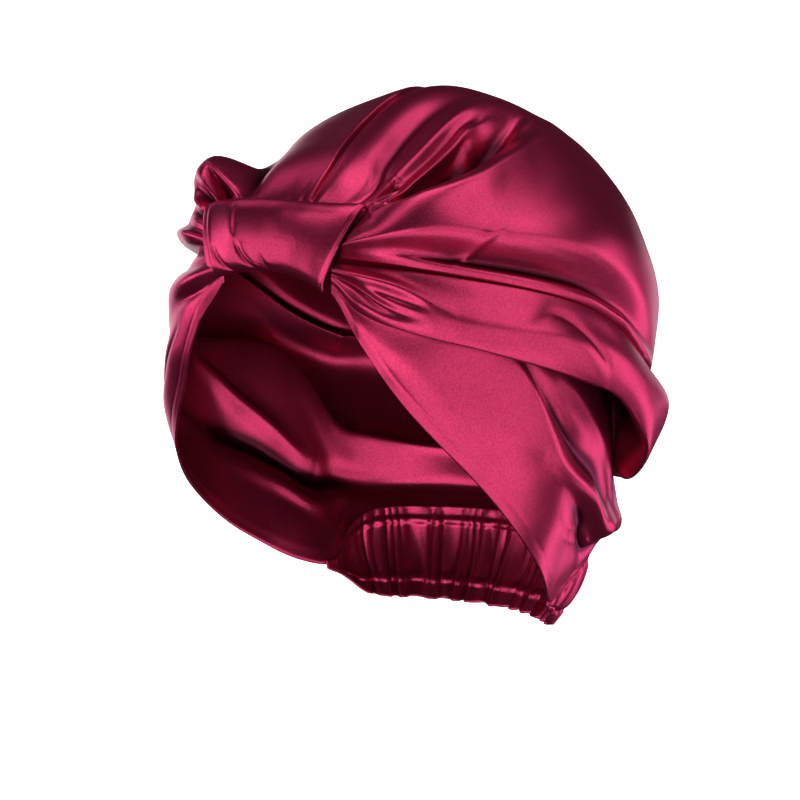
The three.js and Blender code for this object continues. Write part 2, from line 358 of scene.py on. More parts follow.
# Folds by their reach from the tab: fan angle or mm from the guide, height, low and high half width, lean
CROWN_FOLDS = (
    # lapped edge of the pleat beside the middle
    fold(
        1.6,
        (9, -0.8, 0, 3, 0.7, 0), (14, -0.9, 0.8, 4, 0.6, 0.4), (22, -1, 1.2, 6, 0.6, 0.6),
        (32, -1.1, 1.4, 8, 0.6, 0.7), (45, -1.2, 1.6, 10, 0.7, 0.8), (60, -1.3, 1.6, 11, 0.8, 0.8),
        (72, -1.4, 1.3, 12, 1.1, 0.6), (90, -1.5, 0.8, 12, 2.2, 0.3), (115, -1.5, 0, 12, 3, 0),
        guide="crease",
    ),
    # crease under that edge
    fold(
        1.6,
        (9, 0.3, 0, 0.8, 1), (14, 0.3, -1, 0.7, 0.9), (25, 0.3, -1.7, 0.8, 1.2), (45, 0.3, -1.9, 0.9, 1.4),
        (65, 0.3, -1.5, 1, 1.7), (85, 0.4, -0.3, 1.4, 2.6), (110, 0.4, 0, 2, 4),
        guide="crease",
    ),
    # full cloth beyond the crease
    fold(
        2,
        (10, 24, 0, 5, 5), (20, 21, 0.9, 7, 7), (30, 14, 1.7, 9, 9), (45, 6.5, 2.6, 11, 11),
        (65, 2.5, 2, 12, 12), (90, 0, 0, 14, 14),
    ),
    # soft valley before the second ridge
    fold(
        2,
        (14, 43, 0, 2.4, 2.2), (24, 39, -2, 3.5, 2.4), (31, 28.5, -2.6, 5, 3), (37, 23, -2.7, 6, 3.6),
        (44, 17.8, -2.7, 7, 4.2), (53, 13.8, -2.5, 8, 4.6), (60, 12.6, -1.8, 8, 5), (70, 12, -0.7, 8, 6),
        (84, 12, 0, 9, 7),
    ),
    # soft ridge beyond the valley
    fold(
        1.8,
        (24, 44.5, 0, 2, 2), (29.7, 41, 2.2, 2.4, 2.4), (37.3, 34.9, 3, 3.4, 3),
        (47.4, 28.1, 3.4, 4.4, 3.6), (56.2, 23.4, 3, 5.5, 4.6), (64.3, 20.3, 2, 7, 6), (75, 18, 0.8, 8, 7),
        (88, 17, 0, 9, 8),
    ),
    # dip between that ridge and the pocket's edge
    fold(
        2,
        (28, 46, 0, 1.6, 1.4), (34, 41.5, -0.7, 2, 1.6), (40, 37, -1.1, 2.4, 1.8), (47, 32, -1.2, 2.8, 2),
        (55, 27.2, -0.8, 3, 2.4), (63, 24, 0, 3.4, 3),
    ),
    # crisp ridge at the pocket's edge
    fold(
        1.5,
        (24, 0, 0, 1.4, 0.9, 0), (28, 0, 1.6, 1.6, 1, 0.3), (34, 0, 3.2, 1.9, 1.2, 0.8),
        (42, 0, 4.2, 2.3, 1.4, 1.2), (50, 0, 4.4, 2.7, 1.6, 1.3), (55, 0, 3.6, 3.4, 2, 1),
        (61, 0, 2, 4.6, 3.2, 0.4), (70, 0, 0.8, 6, 5, 0), (82, 0, 0, 8, 6, 0),
        guide="ridge",
    ),
    # pocket behind it, deepest under the lip
    fold(
        3,
        (25, 2.4, 0, 1.8, 1.6), (29, 4, -3, 2.8, 2.4), (34, 7, -6.8, 5.4, 4), (42, 12, -10, 10, 6.6),
        (50, 15.5, -11.5, 12.6, 8.2), (57, 16.2, -11.2, 13, 8.6), (63, 16, -10, 12.6, 8.8),
        (69, 14, -6.8, 11, 8.8), (76, 11, -2.6, 9, 8.4), (86, 9, 0, 8, 8),
        guide="ridge",
    ),
    # lip of the left lobe over the pocket
    fold(
        2,
        (20, 0, 0, 1.4, 5, 0), (26, 0, 3.2, 1.6, 8, -0.6), (34, 0, 7, 2, 12, -1.6),
        (42, 0, 8.6, 2.4, 14, -2.6), (50, 0, 8.4, 2.8, 15, -3.2), (57, 0, 7.2, 3.2, 15, -3.2),
        (63, 0, 5.6, 3.8, 15, -2.6), (68, 0, 4, 4.6, 15, -1.8), (78, 0, 1.8, 6, 15, -0.6),
        (92, 0, 0, 8, 15, 0),
        guide="lip",
    ),
    # the two sides of the small tuck at the tab's corner, and the hollow between them
    fold(
        1.6,
        (20, 46.4, 0, 0.7, 0.7), (24, 45, 1.1, 0.8, 0.7), (28, 43.4, 1.4, 0.8, 0.7),
        (30.6, 42.4, 0, 0.8, 0.7),
    ),
    fold(
        1.6,
        (20, 48, 0, 0.7, 0.7), (24, 49.2, 1, 0.7, 0.8), (27.6, 49.4, 1.3, 0.7, 0.8),
        (30.6, 46.4, 0, 0.7, 0.8),
    ),
    fold(
        2,
        (20, 47.2, 0, 0.8, 0.8), (24, 47.1, -1, 1, 1), (28, 46.2, -1.4, 1.2, 1.2), (30.6, 44.4, 0, 1, 1),
    ),
    # hollow under the left lobe
    fold(
        2,
        (20, 82.5, 0, 2.4, 2.4), (28, 83, -1, 3, 2.4), (36, 83.2, -2.6, 4, 2.6), (50, 83.6, -4.2, 5, 3),
        (70, 84, -5, 6, 3.4), (88, 84.8, -3.4, 7, 3.6), (104, 85.6, -1.4, 7, 3.6), (119, 87, 0, 6, 3.6),
    ),
    # welt over the left seam
    fold(
        2,
        (9, 86.4, 1.6, 1.6, 1.6, 0), (16, 86.2, 2.6, 2, 2.6, 0.1), (26, 86.2, 2.8, 2.6, 3.4, 0.2),
        (40, 86.4, 2.6, 2.8, 4, 0.2), (58, 86.9, 2.7, 3.2, 4.6, 0.3), (74, 87.2, 2.7, 3.2, 4.6, 0.3),
        (84, 87.5, 2.1, 2.8, 3.8, 0.3), (91, 87.5, 2.7, 3, 4.2, 0.3), (98, 87.9, 2.1, 2.6, 3.2, 0.2),
        (119, 89, 1, 2.2, 2.2, 0.1),
    ),
    # small tooth in the lobe's underside
    fold(
        1.7,
        (39, 86, 0, 2.4, 1.2), (43, 82.5, 1, 3, 1.3), (46.4, 78, 1, 3.4, 1.4), (51, 73, 0, 3.6, 1.5),
    ),
    # notch between the front and the right lobe
    fold(
        2,
        (14, -49, 0, 2, 5), (22, -49, -1.6, 2.2, 6), (34, -50, -4.6, 3.6, 9), (46, -50.5, -5.4, 5, 11),
        (60, -51, -2.4, 7, 13), (76, -50, 0, 7, 12),
    ),
    # flat back of the right puff, and the lobe that stands on it
    fold(
        6,
        (16, -70, 0, 8, 8.5), (20, -70, 2.4, 9.2, 9.7), (25, -70, 5.2, 11.3, 12), (31, -70, 8, 14, 14.8),
        (38, -70, 9.3, 16.7, 17.7), (45, -70.5, 9, 20, 20), (53, -73, 7, 20, 20), (64, -76.5, 5.2, 18, 20),
        (80, -79, 3.6, 15, 21), (100, -81, 1.8, 12, 22), (118, -82, 0, 12, 22),
    ),
    fold(
        4,
        (18, -62.5, 0, 5, 4.9, 0), (21, -62.5, 1.8, 5.2, 5.1, 0), (25, -62.5, 3.6, 6.1, 6, 0.4),
        (31, -62.5, 5.4, 7.6, 7.5, 0.8), (38, -62.5, 8.4, 9, 8.9, 1), (44, -62.5, 7.6, 10.4, 10, 0.6),
        (50, -63, 2.6, 12, 10.6, 0), (58, -64, 0, 14, 11, 0),
    ),
    # hole under its curl
    fold(
        2.2,
        (17, -68, 0, 1.6, 1.6), (21, -68, -3, 1.8, 1.8), (26, -68, -7, 2, 2), (32, -68, -7.5, 2.2, 2.2),
        (37, -68, -4, 2.4, 2.4), (43, -68, 0, 2.6, 2.6),
    ),
    # pleats below the hole and the valleys between them
    fold(
        1.8,
        (18, -72, 0, 1, 1), (23, -72, 1.6, 1.1, 1.1), (32, -72.2, 2, 1.4, 1.4), (42, -73, 0, 2.2, 2.2),
    ),
    fold(
        2,
        (18, -75, 0, 1, 1), (23, -75, -2.4, 1.2, 1.2), (32, -75.2, -3, 1.5, 1.5), (41, -76, 0, 2.4, 2.4),
    ),
    fold(
        2,
        (18, -82.5, 0, 1.2, 1.2), (24, -82.5, -1.8, 1.4, 1.6), (33, -82.5, -2.2, 2, 2.2),
        (44, -83, 0, 3, 3),
    ),
    # hollow under the right lobe
    fold(
        2,
        (40, -83, 0, 3, 4), (56, -84, -2.6, 3.2, 6), (74, -85, -3, 3.6, 7), (96, -86.5, -1.6, 4, 8),
        (119, -88, 0, 4, 7),
    ),
    # welt over the right seam, a standing tongue by the tab
    fold(
        2.6,
        (12, -86.6, 0.8, 2.4, 2.4), (20, -86.6, 3, 2.8, 3), (26, -86.8, 5.4, 3.2, 3.6),
        (32, -87, 7, 3.6, 4.2), (39, -87, 6.8, 3.6, 4.4), (50, -87.2, 5.4, 3.4, 4.4),
        (70, -87.4, 4.2, 3.2, 4.2), (95, -88, 2.8, 2.6, 3.6), (119, -88.6, 1.4, 2.2, 3),
    ),
)
# Fold that crosses the pocket: its crest's angle and reach at the ridge, and the slope of its reach
CROSS_FOLD = Sizes(
    angle=29.3, reach=55.8, slope=-0.363, height=3.8, near=5.0, far=8.0, start=26.3, full=36, fade=50
)
# Ring of puckered cloth at the end of the small tuck
PUCKER = Sizes(angle=43.2, reach=29.6, radius=1.5, rim=0.8, height=0.7, hole=0.9, dip=0.8)
FAN_STEP = 0.05  # degrees, for the direction across the fan
MM_PER_DEGREE = 1.7  # along the fan
EDGE_TUCK = 0.8  # the crown's edge turns in under the welt
EDGE_TUCK_FROM = 89.3  # fan angle
BACK_FLAT_SHARE = 0.93  # of the reach, beyond which the folds die out
GATHER = Sizes(height=0.3, until=24, across=0.4, along=0.2)
DRAPE = Sizes(height=0.9, start=50, full=110, across=0.11, along=0.03)
SEAM_PUCKER = Sizes(height=0.45, pitch=4.0, width=1.8, start=78, full=100, wander=1.1, pace=0.35)


def crown_grid():
    """Fan angle, reach and reach at the middle: columns follow the guide lines, rows crowd by the tab."""
    place = spaced(-FAN_SIDE, FAN_SIDE, CROWN_CELLS[0] + 1, CROWN_CROWD)
    middle = spaced(FAN_START, FAN_END_MIDDLE, CROWN_CELLS[1] + 1, CROWN_ROWS)[:, None]
    guides = [along(CROWN_GUIDES, name, middle) for name in ("crease", "ridge", "lip")]
    ends = [np.full_like(middle, a) for a in GUIDE_PLACES[[0, 1, -2, -1]]]
    lines = np.concatenate([*ends[:2], *guides, *ends[2:]], 1)
    k = np.clip(np.searchsorted(GUIDE_PLACES, place) - 1, 0, len(GUIDE_PLACES) - 2)
    f = (place - GUIDE_PLACES[k]) / (GUIDE_PLACES[k + 1] - GUIDE_PLACES[k])
    angle = lines[:, k] * (1 - f) + lines[:, k + 1] * f
    share = (middle - FAN_START) / (FAN_END_MIDDLE - FAN_START)
    return angle, FAN_START + (fan_end(angle) - FAN_START) * share, middle


def crown_face():
    """From the right seam to the left one and from under the tab to the back edge: the fan's places on the
    dome, raised by broad forms and folds along the dome's normal and leant across the fan."""
    angle, reach, middle = crown_grid()
    direction = fan_direction(angle, reach)
    base = on_dome(direction, 0 * reach)
    normal = unit(direction / DOME)
    across = (on_dome(fan_direction(angle + FAN_STEP, reach), 0 * reach) - base) / FAN_STEP
    scale = np.linalg.norm(across, axis=-1)
    height = np.zeros_like(reach)
    lean = np.zeros_like(reach)
    sweep = np.clip((reach - FORM_NEAR) / (FORM_FAR - FORM_NEAR), 0, 1)
    for near, far, start, full, fade, rise, low, high in zip(*CROWN_FORMS.values()):
        off = angle - near - (far - near) * sweep
        height += rise * swell(reach, start, full, fade) * hump(off, np.where(off < 0, low, high))

    def offset_from(each):
        if each["guide"]:
            line = along(CROWN_GUIDES, each["guide"], middle)
            return middle, (angle - line) * scale - along(each, "place", middle)
        return reach, (angle - along(each, "place", reach)) * scale

    add_folds(CROWN_FOLDS, offset_from, height, lean)
    crest = CROSS_FOLD.reach + CROSS_FOLD.slope * (angle - CROSS_FOLD.angle)
    off = (middle - crest) * MM_PER_DEGREE
    crossing = swell(angle, CROSS_FOLD.start, CROSS_FOLD.full, CROSS_FOLD.fade)
    height += CROSS_FOLD.height * crossing * hump(off, np.where(off < 0, CROSS_FOLD.near, CROSS_FOLD.far))
    away = np.hypot((angle - PUCKER.angle) * scale, (reach - PUCKER.reach) * MM_PER_DEGREE)
    height += PUCKER.height * hump(away - PUCKER.radius, PUCKER.rim) - PUCKER.dip * hump(away, PUCKER.hole)
    draped = ripple(angle * DRAPE.across, reach * DRAPE.along)
    height += DRAPE.height * smooth(reach, DRAPE.start, DRAPE.full) * draped
    free = free_of_tab(base)
    height *= free
    lean *= free
    gathered = ripple(angle * GATHER.across, reach * GATHER.along)
    height += GATHER.height * gathered * (1 - smooth(reach, FAN_START, GATHER.until))
    side = np.abs(angle)
    stitches = reach * MM_PER_DEGREE / SEAM_PUCKER.pitch * FULL_TURN
    pucker = np.cos(stitches + SEAM_PUCKER.wander * np.sin(reach * SEAM_PUCKER.pace))
    pucker *= smooth(reach, SEAM_PUCKER.start, SEAM_PUCKER.full)
    height += SEAM_PUCKER.height * pucker * hump((FAN_SIDE - side) * scale, SEAM_PUCKER.width)
    height *= 1 - smooth(reach, BACK_FLAT_SHARE * fan_end(angle), fan_end(angle))
    tucked = smooth(side, EDGE_TUCK_FROM, FAN_SIDE)
    height = height * (1 - tucked) - EDGE_TUCK * tucked
    return base + normal * height[..., None] + unit(across) * lean[..., None]


# Side bands

BAND_CELLS = (176, 276)  # down the section, along the seam
BAND_LINES = ("roll", "fold", "tuck", "panel", "end")
BAND_COLUMNS = " ".join(["turn", *(name + way for name in BAND_LINES for way in "RZ")])
# Where these lines lie at each angle about Z: radius and height
BAND_SECTIONS = table(
    BAND_COLUMNS,
    (13, 99.2, -57.5, 99.8, -61.5, 99.6, -62.5, 99.8, -63.5, 99.8, -65),
    (17, 100.5, -61, 101.6, -67.5, 100.6, -67.8, 100.8, -70, 100.8, -73),
    (22, 102.9, -65.4, 104.8, -75.2, 103, -75, 104.3, -80.5, 104.2, -86.5),
    (32, 104.4, -72.5, 104.9, -82.3, 101.3, -80, 103, -96, 100.4, -112.8),
    (48, 103.5, -80.5, 102.6, -90.4, 97.5, -86, 98, -115, 91.8, -142.2),
    (72, 99.5, -89.5, 99, -104.2, 90.5, -97, 89.5, -138, 76, -182),
    (88, 98.5, -100, 97.5, -116, 86, -105, 82, -151, 63, -200),
    (102, 99.5, -114, 96.5, -138, 82.5, -120, 77, -167, 58, -204.5),
    (115, 100.5, -124, 86, -155, 78.5, -148, 78.5, -172, 66, -193),
    (126, 99.5, -129, 82, -159, 78, -155, 79.5, -176, 70, -187.5),
    (150, 102, -134, 86.5, -164.5, 78.5, -161, 79, -178, 70.5, -187),
    (180, 104, -137, 87.5, -166, 78, -162, 78.5, -178, 70.5, -187),
)
# How far the right band, worn looser and without a tuck beside the tab, lies from these lines
RIGHT_EASE = table(
    BAND_COLUMNS,
    (17, 0, 0, 0, 0, 0, 0, 0, 0, 0, 0),
    (22, -0.4, 0.4, -0.2, 2.2, 1.6, -1.5, 0.3, -0.5, 0.2, 0),
    (32, -0.6, 0.5, 0.1, 2.3, 3.3, -7, 1.2, -3, 2, 0),
    (54, -0.8, 1.7, 1.8, -0.3, 6, -15.3, 6, -7.3, 11, -4),
    (80, 0, 0, 0.5, 0, 4, -7, 4.5, -2, 5.5, -2),
    (98, 0, 0, 0, 0, 1, -1, 1, 0, 0, 0),
    (124, 0, 0, 0, 0, 0, 0, 0, 0, 0, 0),
)
BAND_CROWD = table(
    "down density",
    (0, 1.5), (0.1, 1.6), (0.3, 1.3), (0.45, 1.1), (0.6, 0.8), (0.7, 1.1), (0.85, 1), (1, 1.2),
)
BAND_TUCK_UNDER = np.array([-2.0, 0.9])  # the band's top edge goes in behind the crown's welt

# Folds along a band, by the angle about Z: share down the section, height, low and high half width, lean
LEFT_PLEATS = (
    # shoulder close under the crown's welt
    fold(
        2,
        (15, 0.12, 0, 1, 3), (20, 0.085, 1, 1, 4), (28, 0.052, 1.9, 1.1, 5), (40, 0.036, 2.2, 1.2, 6),
        (60, 0.028, 2.2, 1.2, 7), (80, 0.026, 2, 1.2, 7), (100, 0.026, 1.2, 1.2, 6),
        (118, 0.026, 0, 1.2, 6),
    ),
    # pleat that springs from the tab
    fold(
        2,
        (14, 0.26, 0, 1, 1, 0), (17, 0.21, 1.2, 1.6, 1.3, 0.1), (20.8, 0.162, 1.9, 2.2, 1.6, 0.2),
        (25.5, 0.138, 2.2, 2.8, 1.8, 0.3), (29.8, 0.13, 2, 3.2, 2, 0.3), (33.4, 0.137, 1.5, 3.4, 2.2, 0.2),
        (37, 0.152, 0.8, 4, 2.8, 0), (43, 0.17, 0, 5, 4, 0),
    ),
    # short wedge under the pleat
    fold(
        2,
        (23, 0.178, 0, 1.4, 1.4), (26, 0.175, -0.6, 1.8, 1.8), (29.5, 0.173, -0.9, 2, 2),
        (33, 0.174, -0.7, 2.2, 2.2), (37, 0.176, 0, 2.2, 2.2),
    ),
    # long wedge below it
    fold(
        2,
        (14.5, 0.3, 0, 1, 1), (17, 0.25, -1, 1.3, 1.4), (20, 0.222, -1.6, 1.7, 1.8),
        (23, 0.23, -1.9, 2.1, 2.3), (26, 0.25, -1.9, 2.4, 2.8), (29.4, 0.264, -1.5, 2.6, 3),
        (32.8, 0.268, -0.9, 2.8, 3.2), (37, 0.27, 0, 2.8, 3.2),
    ),
    # low ridge above the roll's edge
    fold(
        2,
        (15, 0.31, 0, 1.4, 1.4), (18.6, 0.315, 0.6, 1.6, 1.6), (26, 0.31, 0.8, 2.2, 2.4),
        (33, 0.292, 0.5, 2.6, 3), (40, 0.28, 0, 3, 3),
    ),
)
RIGHT_PLEATS = (
    # soft folds that fall from the tab
    fold(
        2,
        (15, 0.12, 0, 1.4, 1.4), (22, 0.1, -1.6, 2, 2), (34, 0.1, -1.8, 2.6, 2.6), (60, 0.08, 0, 3.6, 4),
    ),
    fold(2, (15, 0.3, 0, 2, 2), (21, 0.27, 1.6, 2.6, 2.6), (30, 0.25, 2, 4, 4), (46, 0.24, 0, 6, 6)),
    fold(
        2,
        (16, 0.45, 0, 1.6, 1.6), (21, 0.44, -1.2, 2, 2), (29, 0.42, -1.2, 2.6, 2.6), (40, 0.4, 0, 4, 4),
    ),
)
LEFT_FOLDS = LEFT_PLEATS + (
    # bulge of the roll, ended by a curved crease
    fold(
        2,
        (50, 0.22, 0, 8, 10), (60, 0.22, 0.9, 8, 10), (68, 0.22, 1.4, 7, 10), (75, 0.26, 1.2, 6, 9),
        (82, 0.32, 0, 6, 9),
    ),
    fold(
        1.4,
        (57, 0.17, 0, 2.4, 1.4), (61.4, 0.143, -0.7, 3, 1.5), (66.6, 0.1, -1.2, 3.4, 1.6),
        (71.8, 0.115, -1.6, 3.6, 1.6), (76.1, 0.166, -1.7, 3.8, 1.6), (79, 0.213, -1.3, 3.8, 1.7),
        (82.5, 0.265, 0, 3.8, 1.8),
    ),
    # crease that runs down the panel from the tuck
    fold(
        1.7,
        (55, 0.61, 0, 3, 1.6), (59, 0.65, -0.6, 3.6, 2), (63.3, 0.69, -1.1, 4, 2.8),
        (67.1, 0.715, -1.7, 4.4, 4.2), (70.4, 0.734, -2.5, 4.8, 6), (74.7, 0.752, -3.2, 5.4, 8),
        (82.2, 0.768, -3.4, 5.6, 9), (92.5, 0.771, -2, 6, 9), (104, 0.77, 0, 6, 9),
    ),
    # full cloth between the crease and the tuck
    fold(
        2,
        (70, 0.66, 0, 6, 5), (82, 0.7, 1.6, 7, 5), (92, 0.715, 2.2, 7, 5), (102, 0.71, 1.6, 7, 5),
        (114, 0.7, 0, 7, 5),
    ),
    # puff over the nape
    fold(
        2,
        (66, 0.805, 0, 5, 5), (75, 0.81, 1.8, 5, 5), (84, 0.812, 3.8, 5, 6), (94, 0.812, 5, 5, 6),
        (105, 0.818, 5.4, 6, 6), (114, 0.826, 4.2, 6, 5), (128, 0.83, 2, 6, 5), (150, 0.84, 0, 5, 5),
    ),
    # hollow under the puff
    fold(
        2,
        (74, 0.848, 0, 4.4, 5), (82, 0.854, -0.6, 4.2, 5), (89, 0.86, -1.6, 4, 4.6),
        (97, 0.87, -2.4, 3.4, 4), (108, 0.88, -1.6, 3, 4), (124, 0.89, 0, 3, 4),
    ),
    # curl of cloth caught under the puff
    fold(
        1.8,
        (88, 0.86, 0, 1.6, 1.4, 0), (94, 0.86, 1.4, 1.8, 1.6, 0.4), (99, 0.864, 2, 2, 1.8, 0.6),
        (104, 0.87, 1.4, 2, 1.8, 0.4), (110, 0.875, 0, 2, 1.8, 0),
    ),
    # short puckers beside the curl
    fold(
        1.6,
        (76, 0.885, 0, 1, 1), (81, 0.888, 0.8, 1.1, 1.1), (87, 0.88, 0.9, 1.2, 1.2),
        (92, 0.87, 0, 1.2, 1.2),
    ),
    fold(
        1.6,
        (80, 0.905, 0, 1, 1), (85, 0.903, 0.7, 1.1, 1.1), (90, 0.893, 0.8, 1.2, 1.2),
        (96, 0.88, 0, 1.2, 1.2),
    ),
)
RIGHT_FOLDS = RIGHT_PLEATS + (
    # panel worn looser than the left one
    fold(
        2,
        (24, 0.7, 0, 9, 12), (36, 0.74, 2.4, 11, 15), (50, 0.78, 4.4, 13, 18), (64, 0.8, 4.2, 14, 18),
        (84, 0.8, 2.4, 14, 14), (106, 0.8, 0, 12, 12),
    ),
    # long creases from the tuck towards the nape
    fold(
        1.4,
        (30, 0.66, 0, 1.8, 2.4), (37, 0.7, -1.4, 2, 3.4), (46, 0.75, -2.2, 2.4, 5), (58, 0.8, -1.8, 3, 6),
        (74, 0.84, 0, 4, 7),
    ),
    fold(
        1.4,
        (64, 0.64, 0, 2, 2.4), (72, 0.69, -2.4, 2.2, 4), (82, 0.74, -3.8, 2.8, 7), (94, 0.765, -3, 4, 8),
        (108, 0.77, 0, 5, 8),
    ),
    # puff over the nape and the hollow under it
    fold(
        2,
        (72, 0.81, 0, 5, 6), (84, 0.815, 2.6, 5, 6), (98, 0.81, 4.4, 6, 6), (112, 0.82, 4, 6, 6),
        (130, 0.83, 1.8, 6, 5), (152, 0.84, 0, 5, 5),
    ),
    fold(2, (70, 0.86, 0, 5, 5), (84, 0.866, -1.8, 4, 5), (100, 0.876, -2.6, 3, 4), (124, 0.89, 0, 3, 4)),
)
HEM = Sizes(width=6.5, turn=1, groove=0.15, line=1.2, swell=0.1)
BAND_GROWN = (18, 26)  # angles about Z between which the hem and the ripples grow
BAND_RIPPLE = Sizes(height=0.4, start=4, full=14, down=0.11, phase=2, along=0.12)


def seam_line(share):
    """The left seam of crown and band, from the tab along the side and round the back to the middle."""
    reach = FAN_START + (FAN_END_SIDE - FAN_START) * share / SEAM_SIDE_SHARE
    side = fan_direction(np.full_like(share, FAN_SIDE), reach)
    back = np.clip((share - SEAM_SIDE_SHARE) / (1 - SEAM_SIDE_SHARE), 0, 1)
    angle = FAN_SIDE * (1 - back**SEAM_BACK_PACE)
    behind = fan_direction(angle, fan_end(angle))
    return on_dome(np.where((share < SEAM_SIDE_SHARE)[:, None], side, behind), 0 * share)


def through(points, t):
    """Centripetal curve through points[section, point] at t from 0 to 1, in equal parts for each span."""
    last = points.shape[1] - 1
    before = 2 * points[:, :1] - points[:, 1:2]
    after = 2 * points[:, -1:] - points[:, -2:-1]
    ends = np.concatenate([before, points, after], 1)
    k = np.clip((t * last).astype(int), 0, last - 1)
    f = (t * last - k)[None, :, None]
    p0, p1, p2, p3 = ends[:, k], ends[:, k + 1], ends[:, k + 2], ends[:, k + 3]
    spans = ((p0, p1), (p1, p2), (p2, p3))
    d0, d1, d2 = (np.sqrt(np.linalg.norm(b - a, axis=-1, keepdims=True)) for a, b in spans)
    m1 = ((p1 - p0) / d0 - (p2 - p0) / (d0 + d1) + (p2 - p1) / d1) * d1
    m2 = ((p2 - p1) / d1 - (p3 - p1) / (d1 + d2) + (p3 - p2) / d2) * d1
    rise = f * f * (3 - 2 * f)
    return p1 + (p2 - p1) * rise + m1 * f * (1 - f) ** 2 - m2 * f * f * (1 - f)


def line_at(rows, name, turn):
    """Radius and height of one line of the sections at each angle about Z."""
    return np.stack([along(rows, name + "R", turn), along(rows, name + "Z", turn)], -1)


def about_z(radius, turn, z):
    """Points at a radius from Z, at an angle about it from the front to the left, and at a height."""
    angle = np.radians(turn)
    return np.stack([radius * np.sin(angle), -radius * np.cos(angle), z], -1)


def band_face(folds, ease=None):
    """A band on the left side: at each place of the seam a section over the roll, into the tuck and down
    the panel, turned about Z; folds stand on the section's normal and lean down it."""
    down = spaced(0, 1, BAND_CELLS[0] + 1, BAND_CROWD)
    seam = seam_line(np.linspace(0, 1, BAND_CELLS[1] + 1))
    turn = np.degrees(np.arctan2(seam[:, 0], -seam[:, 1]))
    top = np.stack([np.hypot(seam[:, 0], seam[:, 1]), seam[:, 2]], -1) + BAND_TUCK_UNDER
    lines = [line_at(BAND_SECTIONS, name, turn) for name in BAND_LINES]
    if ease:
        lines = [line + line_at(ease, name, turn) for line, name in zip(lines, BAND_LINES)]
    section = through(np.stack([top, *lines], 1), down)
    way = unit(np.gradient(section, axis=1))
    length = run_lengths(section, 1)
    height = np.zeros(section.shape[:2])
    lean = np.zeros_like(height)
    row = np.arange(len(turn))

    def offset_from(each):
        place = along(each, "place", turn)
        k = np.clip(np.searchsorted(down, place) - 1, 0, len(down) - 2)
        f = (place - down[k]) / (down[k + 1] - down[k])
        crest = length[row, k] * (1 - f) + length[row, k + 1] * f
        return turn[:, None], length - crest[:, None]

    add_folds(folds, offset_from, height, lean)
    edge = length[:, -1:] - length
    grown = smooth(turn[:, None], *BAND_GROWN)
    height += grown * (HEM.swell * (1 - smooth(edge, HEM.width - HEM.turn, HEM.width + HEM.turn)))
    height -= grown * HEM.groove * hump(edge - HEM.width, HEM.line)
    rippled = ripple(length * BAND_RIPPLE.down + BAND_RIPPLE.phase, turn[:, None] * BAND_RIPPLE.along)
    height += BAND_RIPPLE.height * grown * smooth(length, BAND_RIPPLE.start, BAND_RIPPLE.full) * rippled
    radius = section[..., 0] - way[..., 1] * height + way[..., 0] * lean
    z = section[..., 1] + way[..., 0] * height + way[..., 1] * lean
    return about_z(radius, turn[:, None], z)


# Nape casing

CASING_CELLS = (60, 420)  # down the strip, round the nape
CASING_EDGE = table(
    "turn edgeR edgeZ",
    (98, 57, -206.5),
    (106, 54.5, -211),
    (117, 53, -219),
    (140, 51.5, -222),
    (180, 52, -223.5),
)
CASING_START = 98  # angle about Z at which it leaves the hem
CASING_EASE = 22  # further angle over which its gathers grow
CASING_LAP = np.array([-0.4, 1.2])  # its top edge goes in behind the panels' ends
CASING_BULGE = 3.2
# Waves that shift the gathers along the strip
CASING_UNEVEN = table("share pace phase", (0.012, 31, 0), (0.007, 71, 1))
CASING_RUFFLE = Sizes(height=1.7, count=15, sway=0.5, bends=3)
CASING_GATHER = Sizes(height=0.8, count=37, sway=0.9, bends=5, drift=40, fade=0.35, pace=47, slant=2)
CASING_STITCH = Sizes(places=(0.16, 0.8), depth=0.9, width=0.035)  # rows that hold the elastic


def casing_face():
    """From the panels' ends down to the ruffled edge, round the nape from left to right: a bulging strip
    whose gathers are waves about Z, uneven in width and height, drawn in along two rows of stitches."""
    down = np.linspace(0, 1, CASING_CELLS[0] + 1)[None, :]
    share = np.linspace(0, 1, CASING_CELLS[1] + 1)[:, None]
    turn = CASING_START + (360 - 2 * CASING_START) * share
    half = np.minimum(turn, 360 - turn)
    top = line_at(BAND_SECTIONS, "end", half) + CASING_LAP
    edge = line_at(CASING_EDGE, "edge", half)
    body = smooth(half, CASING_START, CASING_START + CASING_EASE)
    uneven = share
    for part, pace, phase in zip(*CASING_UNEVEN.values()):
        uneven = uneven + part * np.sin(share * pace + phase)
    sway = CASING_RUFFLE.sway * np.sin(down * CASING_RUFFLE.bends)
    wave = np.cos(uneven * CASING_RUFFLE.count * FULL_TURN + sway)
    sway = CASING_GATHER.sway * np.sin(down * CASING_GATHER.bends + share * CASING_GATHER.drift)
    fading = CASING_GATHER.fade * (1 - np.sin(share * CASING_GATHER.pace + CASING_GATHER.slant * down))
    fine = np.cos(uneven * CASING_GATHER.count * FULL_TURN + sway) * (1 - fading)
    bulge = CASING_BULGE * np.sin(np.pi * down) + CASING_RUFFLE.height * wave * down
    bulge = bulge + CASING_GATHER.height * fine * np.sqrt(np.sin(np.pi * down))
    for place in CASING_STITCH.places:
        bulge = bulge - CASING_STITCH.depth * hump(down - place, CASING_STITCH.width)
    radius, z = np.moveaxis(top + (edge - top) * down[..., None], -1, 0)
    return about_z(radius + body * bulge, turn, z)


# Meshes

RIM_ROUND = 0.45  # of a wall, by which an edge stands out between its two sides
# Painted shade in creases and hollows: depths at which light hardly gets in and the colour is darkened
# fully, in mm below the level of the cloth evened out over a reach
SHADE_LEVELS = table("reach deep", (5, 1.1), (30, 4.3))


